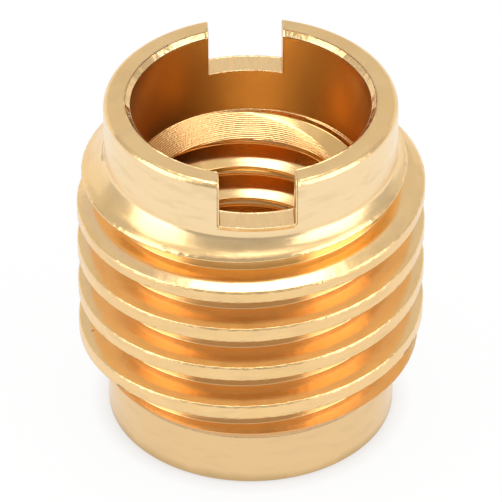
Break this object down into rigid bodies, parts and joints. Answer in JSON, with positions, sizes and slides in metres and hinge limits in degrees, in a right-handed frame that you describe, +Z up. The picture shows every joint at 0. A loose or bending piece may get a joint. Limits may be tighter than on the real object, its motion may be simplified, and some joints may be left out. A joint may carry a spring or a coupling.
{
  "type": "threaded insert",
  "caption": "Turned brass bush with a coarse knife thread outside for wood, a machine thread inside below a counterbore, and a driving slot across its neck.",
  "frame": {"origin": "centre of the lower face, at the pilot's end that goes into the wood first", "axes": "+Z up the axis from the pilot to the slotted rim, Y along the driving slot, X across it"},
  "size_m": [0.014, 0.014, 0.0149],
  "materials": {
    "brass": "bright, as turned"
  },
  "bodies": {
    "root": {"threaded_insert": "brass"}
  },
  "joints": []
}
